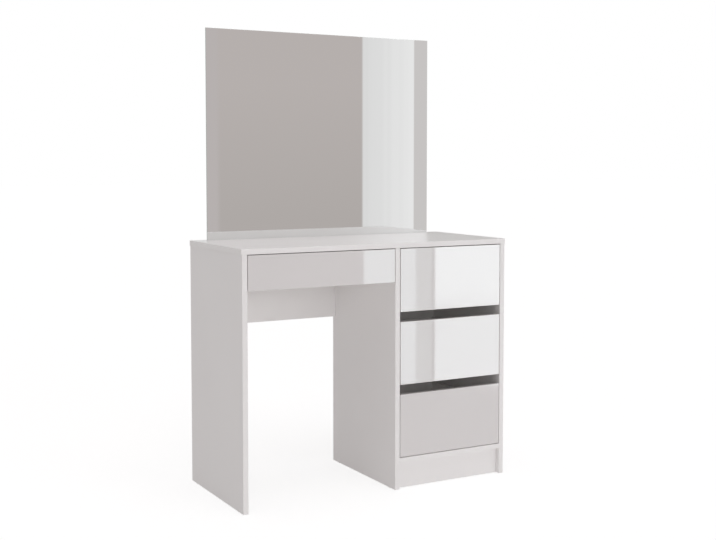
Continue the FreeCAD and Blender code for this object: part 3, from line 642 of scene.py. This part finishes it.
def shells(grids):
    """Points, corners and corner counts of the faces over grids of points, given as copy, row and column.
    Columns close round the piece, and rows either close as well or end in flat faces."""
    points, corners, counts, used = [], [], [], 0
    for grid, closed in grids:
        copies, rows, columns, _ = grid.shape
        number = used + np.arange(copies * rows * columns).reshape(copies, rows, columns)
        low = number if closed else number[:, :-1]
        high = np.roll(number, -1, axis=1) if closed else number[:, 1:]
        quads = np.stack((low, np.roll(low, -1, 2), np.roll(high, -1, 2), high), axis=-1).reshape(-1, 4)
        corners.append(quads.ravel())
        counts.append(np.full(len(quads), 4))
        if not closed:
            ends = np.concatenate((number[:, 0, ::-1], number[:, -1]))
            corners.append(ends.ravel())
            counts.append(np.full(len(ends), columns))
        points.append(grid.reshape(-1, 3))
        used += number.size
    return np.concatenate(points), np.concatenate(corners), np.concatenate(counts)


def piece(node, body, slot, grids):
    """One piece of hardware from its grids of points, on its body and in the place of its CAD node."""
    name = f"modelled_{node}"
    points, corners, counts = shells(grids)
    mesh = bpy.data.meshes.new(name)
    mesh.vertices.add(len(points))
    mesh.vertices.foreach_set("co", points.astype(np.float32).ravel())
    mesh.loops.add(len(corners))
    mesh.loops.foreach_set("vertex_index", corners.astype(np.int32))
    mesh.polygons.add(len(counts))
    mesh.polygons.foreach_set("loop_start", (np.cumsum(counts) - counts).astype(np.int32))
    mesh.polygons.foreach_set("use_smooth", np.ones(len(counts), dtype=bool))
    mesh.update(calc_edges=True)
    mesh.set_sharp_from_angle(angle=SHARP_EDGE)
    mesh.materials.append(finishes[slot])
    made = placed(name, mesh)
    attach(made, body)
    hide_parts(node)


# Angles round a cross recess, with a point on every corner: flank, end of an arm, flank, in each quarter.
ARM_HALF_WIDTH = 0.3
CROSS_CORNER = math.atan(ARM_HALF_WIDTH)
QUARTER = np.concatenate([
    np.linspace(-np.pi / 4, -CROSS_CORNER, 4, endpoint=False),
    np.linspace(-CROSS_CORNER, CROSS_CORNER, 3, endpoint=False),
    np.linspace(CROSS_CORNER, np.pi / 4, 4, endpoint=False),
])
CROSS_ANGLES = np.concatenate([QUARTER + quarter * np.pi / 2 for quarter in range(4)])


def cross_recess(arm):
    """Radius of a cross about its middle: at each angle the nearer of the end of an arm, which is the
    arm's length over the cosine, and its flank, which is half the arm's width over the sine."""
    turn = np.abs((CROSS_ANGLES + np.pi / 4) % (np.pi / 2) - np.pi / 4)
    half_width = arm * ARM_HALF_WIDTH
    return np.minimum(arm / np.cos(turn), half_width / np.maximum(np.sin(turn), NEARLY_ZERO))


def thread_turns(start, end):
    """Heights of the rows of a thread."""
    return np.arange(start, end, THREAD_PITCH / PITCH_ROWS)[:, None]


def thread_cut(turns, angle):
    """Depth that a thread takes off its shank: a saw of the height, up and down once in a pitch, which a
    full turn of the angle moves on by one pitch."""
    return THREAD_DEPTH * np.abs((turns / THREAD_PITCH - angle / (2 * np.pi)) % 1 - 0.5) * 2


def screw(length, head, edge, crown, sink):
    """Cross-headed screw about z, its crown at zero and its point at the length. From the floor of the
    cross the rows climb to the crown, an arc of an ellipse that spreads from the cross to the round edge,
    then go down the edge and the cone under the head. The thread is cut into the shank."""
    cross = cross_recess(SCREW_CROSS * head)
    ring = np.ones_like(cross)
    dome = cross + column(*DOME_ROWS) * (head - cross)
    fall = crown * (1 - np.sqrt(np.maximum(0, 1 - (dome / head) ** 2)))
    neck = crown + edge + sink
    side = [crown + edge] if edge else []
    tip = length - 2 * SHANK
    turns = thread_turns(neck + THREAD_PITCH / 2, tip)
    radii = np.concatenate([
        CROSS_FLOOR[0] * cross[None], CROSS_FOOT[0] * cross[None], dome,
        column(*[head for _ in side], SHANK) * ring,
        SHANK - thread_cut(turns, CROSS_ANGLES), column(*POINT_SHARES) * SHANK * ring,
    ])
    heights = np.concatenate([
        CROSS_FLOOR[1] * neck * ring[None], fall[:1] + CROSS_FOOT[1] * neck, fall,
        column(*side, neck) * ring,
        turns * ring, column(tip, length) * ring,
    ])
    return turned(radii, heights, CROSS_ANGLES)


def pan_screw(length, head):
    """Screw whose low domed head lies on the surface."""
    return screw(length, head, edge=0.0008, crown=0.0012, sink=0.0003)


def raised_screw(length, head):
    """Countersunk screw with a raised crown."""
    return screw(length, head, edge=0.0, crown=SCREW_CROWN, sink=0.0018)


def cam_lock(depth, radius):
    """Die-cast cam about z: a cross in a sunk face, a raised rim, and a drum with the waist that draws in
    the bolt. Each row of the profile has a share of the radius and a height."""
    cross = cross_recess(CAM_CROSS * radius)
    profile = np.array([
        (0.74, CAM_SUNK), (0.79, 0.0), (0.95, 0.0), (1.0, CAM_RIM),
        (1.0, 0.28 * depth), (0.86, 0.31 * depth), (0.86, 0.66 * depth), (1.0, 0.69 * depth),
        (1.0, depth - CAM_RIM), (0.94, depth),
    ])
    drum = profile[:, :1] * radius * np.ones_like(cross)
    radii = np.concatenate([CAM_CROSS_FLOOR * cross[None], cross[None], drum])
    heights = column(CAM_CROSS_DEPTH, CAM_SUNK, *profile[:, 1])
    return turned(radii, heights, CROSS_ANGLES)


def cam_bolt(length, radius):
    """Cam bolt about z from its threaded end: a saw-toothed thread, a collar at the face of the board, a
    thin neck and a ball head, half a sine wave of radius along its length."""
    angle = round_angles(ROUND_POINTS)
    ring = np.ones_like(angle)
    turns = thread_turns(BOLT_THREAD_MARGIN, BOLT_THREAD - BOLT_THREAD_MARGIN)
    collar_end = BOLT_THREAD + BOLT_COLLAR
    head_start = length - BOLT_HEAD
    neck = BOLT_NECK * radius
    ball = column(*np.linspace(BALL_START, 1.0, BALL_ROWS))
    radii = np.concatenate([
        BOLT_END * radius * ring[None], radius - thread_cut(turns, angle),
        column(radius, radius, neck, neck) * ring,
        neck + (radius - neck) * np.sin(np.pi * ball) * ring,
    ])
    heights = np.concatenate([
        column(0.0), turns, column(BOLT_THREAD, collar_end, collar_end + BOLT_TAPER, head_start),
        head_start + BOLT_HEAD * ball,
    ])
    return turned(radii, heights, angle)


def fluted_dowel(length, radius):
    """Beech dowel about z: a chamfered rod whose radius dips by a cosine of the angle at each flute."""
    angle = round_angles(FLUTE_POINTS * DOWEL_FLUTES)
    flute = FLUTE_DEPTH * (1 - np.cos(DOWEL_FLUTES * angle)) / 2
    end = radius - DOWEL_CHAMFER
    heights = column(0.0, DOWEL_CHAMFER, length - DOWEL_CHAMFER, length)
    return turned(column(end, radius, radius, end) - flute, heights, angle)


def floor_glide(length, radius):
    """Nailed glide about z, up from the floor: a flat sole, a quarter ellipse round it, the nail."""
    bend = column(*np.linspace(0, np.pi / 2, BEND_POINTS))
    sole = GLIDE_SOLE * radius
    rounding = GLIDE_ROUNDING * GLIDE_CAP
    tip = POINT_SHARES[1] * GLIDE_NAIL
    radii = np.concatenate([
        sole + (radius - sole) * np.sin(bend), column(radius, GLIDE_NAIL, GLIDE_NAIL, tip),
    ])
    heights = np.concatenate([
        rounding * (1 - np.cos(bend)), column(GLIDE_CAP, GLIDE_CAP, length - NAIL_POINT, length),
    ])
    return turned(radii, heights, round_angles(GLIDE_POINTS))


def spoked_roller(width, radius):
    """Roller about z: a tyre with rounded shoulders, a hub, and between them a hollow that spokes cross.
    The hollow's depth is a clipped slope of the cosine of the spokes' number times the angle."""
    angle = round_angles(SPOKE_POINTS * ROLLER_SPOKES)
    ring = np.ones_like(angle)
    half = width / 2
    bend = column(*np.linspace(0, np.pi / 2, SHOULDER_POINTS))
    inner = radius - ROLLER_RIM
    spoke = np.clip((np.cos(ROLLER_SPOKES * angle) - SPOKE_START) / SPOKE_RISE, 0, 1)
    floor = half - ROLLER_HOLLOW * (1 - SPOKE_HEIGHT * spoke)
    radii = np.concatenate([
        radius - ROLLER_SHOULDER + ROLLER_SHOULDER * np.cos(bend),
        column(inner, inner - ROLLER_DRAFT, ROLLER_HUB + ROLLER_DRAFT, ROLLER_HUB),
        column(ROLLER_BORE + BORE_CHAMFER, ROLLER_BORE),
    ]) * ring
    heights = np.concatenate([
        (half - ROLLER_SHOULDER + ROLLER_SHOULDER * np.sin(bend)) * ring,
        half * ring[None], floor[None], floor[None],
        column(half, half, half - BORE_CHAMFER) * ring,
    ])
    return turned(np.concatenate([radii, radii[::-1]]), np.concatenate([heights, -heights[::-1]]), angle)


def folded_sheet(corners):
    """Outline of sheet steel folded at corners, as (across, up) points: straight runs joined by arcs of
    the fold radius, moved half the thickness to the left and, on the way back, half to the right."""
    corners = np.array(corners)
    run = np.diff(corners, axis=0)
    bearing = np.arctan2(run[:, 1], run[:, 0])
    turn = (np.diff(bearing) + np.pi) % (2 * np.pi) - np.pi
    side = np.sign(turn)[:, None]
    heading = np.stack((np.cos(bearing[:-1]), np.sin(bearing[:-1])), axis=1)
    left = np.stack((-heading[:, 1], heading[:, 0]), axis=1)
    back = FOLD_RADIUS * np.tan(np.abs(turn) / 2)[:, None]
    centre = corners[1:-1] - heading * back + left * side * FOLD_RADIUS
    facing = bearing[:-1, None] + turn[:, None] * np.linspace(0, 1, FOLD_POINTS)
    normal = np.stack((-np.sin(facing), np.cos(facing)), axis=-1)
    arcs = centre[:, None] - normal * side[:, None] * FOLD_RADIUS
    ends = np.stack((-np.sin(bearing), np.cos(bearing)), axis=1)
    middle = np.concatenate((corners[:1], arcs.reshape(-1, 2), corners[-1:]))
    normal = np.concatenate((ends[:1], normal.reshape(-1, 2), ends[-1:]))
    return np.concatenate((middle + normal * STEEL / 2, (middle - normal * STEEL / 2)[::-1]))


def carried(sections, depths, x, z, side):
    """A section carried along y: each row is the outline at one depth, set out from x and z to the side
    that it faces. The columns run clockwise seen from the front, as faces that look outwards need."""
    grid = np.empty((len(depths), sections.shape[1], 3))
    grid[..., 0] = x + side * sections[..., 0]
    grid[..., 1] = np.asarray(depths)[:, None]
    grid[..., 2] = z + sections[..., 1]
    across, up = grid[0, :, 0], grid[0, :, 2]
    area = np.sum(across * np.roll(up, -1) - np.roll(across, -1) * up)
    return grid[None] if area < 0 else grid[None, :, ::-1]


def axle(start, end, collar, y, z, side):
    """Riveted axle along x: collar, pin and flattened head, as radius over distance from its foot."""
    reach = abs(end - start)
    pin_end = reach - RIVET
    rounding = [AXLE_HEAD * share for share in RIVET_ROUNDING]
    radii = column(AXLE_HEAD, AXLE_HEAD, AXLE, AXLE, AXLE_HEAD, *rounding)
    heights = column(0.0, collar, collar, pin_end, pin_end, reach - RIVET / 3, reach)
    shape = turned(radii, heights, round_angles(ROUND_POINTS))
    axes = np.array([(0, 1, 0), (0, 0, side), (side, 0, 0)])
    return (np.einsum("rcl,lw->rcw", shape, axes) + np.array([start, y, z]))[None]


def runner_ends(node):
    """Lowest and highest corners of a pair's left and right runner, and the way from panel to drawer."""
    corners = [(points.min(axis=0), points.max(axis=0)) for points in solids(node)]
    corners.sort(key=lambda pair: pair[0][0])
    return [(low, high, side) for (low, high), side in zip(corners, (1, -1))]


def roller_axis(node):
    """Depth and height of the line that a pair of rollers turns about."""
    low, high = (np.array(corner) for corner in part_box(node))
    return (low + high)[1:] / 2


def cabinet_runner(low, high, side, axis):
    """Fixed runner: a web on the panel, a track with a lip below and a cover above, which shrinks to a
    bead at the open mouth in front. The section between bead and cover is the one outline drawn out to
    the other."""
    width, height = (high - low)[[0, 2]]
    half = STEEL / 2
    track = [(half, half), (width - half, half), (width - half, TRACK_LIP)]
    wide, bead = (folded_sheet([(reach, height - half), (half, height - half)] + track)
                  for reach in (COVER_WIDTH, MOUTH_BEAD))
    depths = low[1] + np.array([0.0, *MOUTH_TAPER, high[1] - low[1]])
    share = np.array([0.0, 0.0, 1.0, 1.0])[:, None, None]
    panel = low[0] if side > 0 else high[0]
    grid = carried(bead + share * (wide - bead), depths, panel, low[2], side)
    pin = axle(panel + side * half, panel + side * RIVET_REACH, CABINET_COLLAR, *axis, side)
    return [(grid, False), (pin, False)]


def drawer_runner(low, high, side, axis):
    """Moving runner: a foot under the drawer's side, a web and the flange over the front roller."""
    height = high[2] - low[2]
    half = STEEL / 2
    web = FOOT_WIDTH - half
    flange = web - half + FLANGE_REACH
    section = folded_sheet([(0.0, half), (web, half), (web, height - half), (flange, height - half)])
    foot, rivet = (high[0], low[0]) if side > 0 else (low[0], high[0])
    grid = carried(np.stack((section, section)), (low[1], high[1]), foot, low[2], -side)
    pin = axle(foot - side * web, rivet, DRAWER_COLLAR, *axis, -side)
    return [(grid, False), (pin, False)]


def mirror_strap(node):
    """Flat steel strap: an upright bar with rounded corners, each quarter circle turned about its own
    centre, drawn in by the broken edge on its two faces."""
    low, high = (np.array(corner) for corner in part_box(node))
    quarter = np.arange(4)[:, None] * np.pi / 2 + np.linspace(0, np.pi / 2, BEND_POINTS)
    signs = np.array([(1, 1), (-1, 1), (-1, -1), (1, -1)])
    middle, half = (low + high)[[0, 2]] / 2, (high - low)[[0, 2]] / 2
    inset = np.array([STRAP_EDGE, 0.0, 0.0, STRAP_EDGE])
    centre = signs * (half - STRAP_CORNER)
    around = np.stack((np.cos(quarter), np.sin(quarter)), axis=-1)
    outline = centre[:, None] + around * (STRAP_CORNER - inset[:, None, None, None])
    outline = outline.reshape(len(inset), -1, 2)
    depths = (low[1], low[1] + STRAP_EDGE, high[1] - STRAP_EDGE, high[1])
    return carried(outline, depths, *middle, 1), False


def turned_set(fittings, shape, closed=False):
    """Fittings of one kind made again as a turned shape of their length and radius."""
    return set_in(fittings, shape(fittings[0].length, fittings[0].radius)), closed


def proud(fittings):
    """Countersunk screws with the height of their raised crown standing out of the face."""
    return [one._replace(face=one.face - one.axes[2] * SCREW_CROWN, length=one.length + SCREW_CROWN)
            for one in fittings]


def centred(fittings):
    """Fittings whose shape is made about its middle."""
    return [one._replace(face=one.face + one.axes[2] * one.length / 2) for one in fittings]


def aimed(bolts, cams):
    """Cam bolts turned so that each one's far end is the end next to a cam."""
    drums = np.array([one.face for one in centred(cams)])
    flip = np.array([1, -1, -1])[:, None]
    result = []
    for bolt in bolts:
        tip = bolt.face + bolt.axes[2] * bolt.length
        near, far = (np.linalg.norm(drums - end, axis=1).min() for end in (bolt.face, tip))
        result.append(bolt._replace(face=tip, axes=bolt.axes * flip) if near < far else bolt)
    return result


def found(node):
    """The fittings of a node, each taken to be widest outside."""
    return [fitting(points) for points in solids(node)]


def found_cams(node):
    """The fittings of a node that are wider than any screw."""
    wide = [points for points in solids(node) if np.median(np.ptp(points, axis=0)) > 2 * WIDEST_SCREW]
    return [fitting(points, widest_outside=False) for points in wide]


def drawer_hardware(node):
    """Cams, bolts and screws of one drawer, told apart by their radius and length."""
    cams = found_cams(node)
    bolts = [one for one in found(node) if one.radius < WIDEST_BOLT]
    screws = proud([one for one in found(node) if WIDEST_BOLT < one.radius < WIDEST_SCREW])
    long = [one for one in screws if one.length > LONGEST_RUNNER_SCREW]
    short = [one for one in screws if one.length < LONGEST_RUNNER_SCREW]
    return [turned_set(cams, cam_lock), turned_set(aimed(bolts, cams), cam_bolt),
            turned_set(long, raised_screw), turned_set(short, raised_screw)]


def fit_hardware():
    """Every modelled piece of hardware, each in the place of its plain solids."""
    cams = found_cams("cam_locks")
    bolts = aimed(found("cam_bolts"), cams)
    carcass = {
        "cam_locks": ("zinc_steel", turned_set(cams, cam_lock)),
        "cam_bolts": ("zinc_steel", turned_set(bolts, cam_bolt)),
        "strap_screws": ("zinc_steel", turned_set(found("strap_screws"), pan_screw)),
        "runner_screws": ("zinc_steel", turned_set(proud(found("runner_screws")), raised_screw)),
        "wood_dowels": ("beech", turned_set(found("wood_dowels"), fluted_dowel)),
        "floor_glides": ("glide_plastic", turned_set(found("floor_glides"), floor_glide)),
        "left_mirror_strap": ("zinc_steel", mirror_strap("left_mirror_strap")),
        "right_mirror_strap": ("zinc_steel", mirror_strap("right_mirror_strap")),
    }
    for node, (slot, grid) in carcass.items():
        piece(node, "carcass", slot, [grid])
    for drawer in DRAWERS:
        front, rear = f"{drawer}_front_rollers", f"{drawer}_rear_rollers"
        for node in (front, rear):
            grid = turned_set(centred(found(node)), spoked_roller, closed=True)
            piece(node, node, "roller_plastic", [grid])
        node = f"{drawer}_drawer_fittings"
        piece(node, f"{drawer}_drawer", "zinc_steel", drawer_hardware(node))
        runners = {
            f"{drawer}_cabinet_runners": ("carcass", cabinet_runner, roller_axis(front)),
            f"{drawer}_drawer_runners": (f"{drawer}_drawer", drawer_runner, roller_axis(rear)),
        }
        for node, (body, runner, axis) in runners.items():
            grids = [grid for ends in runner_ends(node) for grid in runner(*ends, axis)]
            piece(node, body, "white_steel", grids)


fit_hardware()


def glowing(tree, tone, glow):
    """A dull surface of a tone that also glows white."""
    dull = add(tree, "BsdfDiffuse", {"Color": tone})
    light = add(tree, "Emission", {"Color": WHITE, "Strength": glow})
    return add(tree, "AddShader", {0: dull.outputs[0], 1: light.outputs[0]}).outputs[0]


def make_floor():
    """A pale floor that the camera sees as white, with the table's shadow left on it."""
    made, tree, shader = material("studio_floor")
    tree.nodes.remove(shader)
    path = add(tree, "LightPath").outputs
    seen = calc(tree, "MAXIMUM", path["Is Camera Ray"], path["Is Glossy Ray"])
    seen = calc(tree, "MAXIMUM", seen, path["Is Transmission Ray"])
    plain = glowing(tree, FLOOR_TONE, FLOOR_GLOW)
    white = glowing(tree, FLOOR_TONE_SEEN, FLOOR_GLOW_SEEN)
    both = add(tree, "MixShader", {0: seen, 1: plain, 2: white})
    tree.links.new(both.outputs[0], tree.nodes["Material Output"].inputs["Surface"])
    corners = [(x * FLOOR_REACH, y * FLOOR_REACH, 0) for x, y in ((-1, -1), (1, -1), (1, 1), (-1, 1))]
    mesh = bpy.data.meshes.new("studio_floor")
    mesh.from_pydata(corners, [], [(0, 1, 2, 3)])
    mesh.materials.append(made)
    floor = placed("studio_floor", mesh)
    floor.visible_glossy = False


def outlook(tree):
    """Where a direction looks: its bearing in degrees from straight ahead of the table towards the right,
    its slope as rise over level run, and how far it points behind the table."""
    way = add(tree, "TexCoord").outputs["Generated"]
    x, y, z = add(tree, "SeparateXYZ", {0: way}).outputs
    bearing = calc(tree, "DEGREES", calc(tree, "ARCTAN2", x, times(tree, y, -1.0)))
    level = calc(tree, "SQRT", calc(tree, "ADD", calc(tree, "POWER", x, 2.0), calc(tree, "POWER", y, 2.0)))
    slope = calc(tree, "DIVIDE", z, calc(tree, "MAXIMUM", level, NEARLY_ZERO))
    return bearing, slope, y


def span(tree, bearing, start, end, blur):
    """One between two bearings, fading over a blur at each."""
    rise = ramp(tree, bearing, start - blur, start + blur)
    return times(tree, rise, ramp(tree, bearing, end + blur, end - blur))


def with_strips(tree, bearing, slope, colour, strips, glow):
    """The strip lamps at their bearings, each up to its top slope, set into a colour."""
    half = STRIP_BREADTH / 2
    for middle, top in strips:
        strip = span(tree, bearing, middle - half, middle + half, STRIP_BLUR)
        strip = times(tree, strip, ramp(tree, slope, top, top - STRIP_TOP_BLUR))
        colour = blend(tree, strip, colour, glow)
    return colour


def pale_screen(tree, bearing):
    """The screen's tone, which brightens to the right and wavers with its folds."""
    inputs = {"W": bearing, "Scale": SCREEN_FOLDS, "Detail": 2.0}
    folds = add(tree, "TexNoise", inputs, noise_dimensions="1D").outputs["Fac"]
    folds = ramp(tree, folds, *FOLD_NOISE, start=-FOLD_DEPTH, end=FOLD_DEPTH)
    left, right, _ = MIRROR_SCREEN_SPAN
    across = ramp(tree, bearing, left, right, smooth=False)
    return blend(tree, calc(tree, "ADD", across, folds), SCREEN_LEFT, SCREEN_RIGHT)


def seen_in_mirror(tree, bearing, slope, screen):
    """What the mirror sees: the wall with its corner, the screen, the post beside it, and the floor into
    which they fade below."""
    wall = blend(tree, ramp(tree, slope, *WALL_FADE, smooth=False), WALL_LOW, WALL_HIGH)
    wall = blend(tree, ramp(tree, bearing, *CORNER_FADE), wall, WALL_CORNER)
    studio = blend(tree, span(tree, bearing, *MIRROR_SCREEN_SPAN), wall, screen)
    studio = blend(tree, span(tree, bearing, *MIRROR_POST_SPAN), studio, POST)
    return blend(tree, ramp(tree, slope, *FLOOR_FADE), studio, STUDIO_FLOOR)


def seen_in_gloss(tree, bearing, slope, screen):
    """What the lacquer sees, bright because it gives back little: the wall, the screen and the post, both
    brighter low down, a broad lamp with its dark rim, the floor under them, and the strip lamps."""
    low = ramp(tree, slope, *LOW_FADE)
    screen = blend(tree, low, screen, SCREEN_LOW)
    post = blend(tree, low, POST, POST_LOW)
    lit = blend(tree, ramp(tree, slope, *LAMP_FADE), LAMP, LAMP_LOW)
    lamp = times(tree, span(tree, bearing, *LAMP_SPAN), ramp(tree, slope, *LAMP_TOP_FADE))
    studio = blend(tree, span(tree, bearing, *SCREEN_SPAN), WALL, screen)
    studio = blend(tree, span(tree, bearing, *POST_SPAN), studio, post)
    studio = blend(tree, lamp, studio, lit)
    studio = blend(tree, span(tree, bearing, *RIM_SPAN), studio, LAMP_RIM)
    studio = blend(tree, ramp(tree, slope, *FOOT_FADE), studio, STUDIO_FLOOR)
    return with_strips(tree, bearing, slope, studio, STRIPS, STRIP)


def make_world():
    """White for the camera, an even sky for the light, and for reflections a grey studio in front of the
    table with a lit ceiling, which the mirror and the gloss see in their own ways, and a plain one with
    strip lamps behind."""
    world = bpy.data.worlds.new("studio")
    world.use_nodes = True
    world.cycles.sampling_method = "NONE"
    scene.world = world
    tree = world.node_tree
    tree.nodes.clear()
    bearing, slope, backwards = outlook(tree)
    screen = pale_screen(tree, bearing)
    path = add(tree, "LightPath").outputs
    in_gloss = seen_in_gloss(tree, bearing, slope, screen)
    in_mirror = seen_in_mirror(tree, bearing, slope, screen)
    studio = blend(tree, path["Is Singular Ray"], in_gloss, in_mirror)
    ceiling = blend(tree, span(tree, bearing, *CEILING_LAMP_SPAN), CEILING, CEILING_LAMP)
    studio = blend(tree, ramp(tree, slope, *CEILING_FADE), studio, ceiling)
    behind = with_strips(tree, bearing, slope, BACK_WALL, STRIPS_BEHIND, STRIP_BEHIND)
    studio = blend(tree, ramp(tree, backwards, *BEHIND_FADE), studio, behind)
    colour = blend(tree, path["Is Glossy Ray"], SKY, studio)
    seen = calc(tree, "MAXIMUM", path["Is Camera Ray"], path["Is Transmission Ray"])
    colour = blend(tree, seen, colour, WHITE)
    shine = add(tree, "Background", {"Color": colour})
    add(tree, "OutputWorld", {"Surface": shine.outputs[0]})


def make_lamps():
    """The soft lamps, two in front of the table and one above it."""
    for name, (strength, bearing, height, breadth) in LAMPS.items():
        data = bpy.data.lights.new(name, "SUN")
        data.energy = strength
        data.angle = math.radians(breadth)
        lamp = placed(name, data)
        lamp.rotation_euler = (math.radians(90 - height), 0, math.radians(bearing))
        lamp.visible_glossy = False


def make_camera():
    """The photograph's camera."""
    data = bpy.data.cameras.new("camera")
    data.sensor_fit = "HORIZONTAL"
    data.sensor_width = SENSOR
    data.lens = FOCAL_PIXELS / IMAGE_WIDTH * SENSOR
    data.shift_y = CAMERA_SHIFT
    data.clip_end = CAMERA_REACH
    camera = placed("camera", data)
    camera.location = CAMERA_PLACE
    camera.rotation_euler = (math.radians(90 - CAMERA_PITCH), 0, math.radians(-CAMERA_YAW))
    scene.camera = camera


make_floor()
make_world()
make_lamps()
make_camera()
scene.view_settings.view_transform = "Standard"
scene.cycles.max_bounces = LIGHT_BOUNCES
scene.cycles.diffuse_bounces = LIGHT_BOUNCES
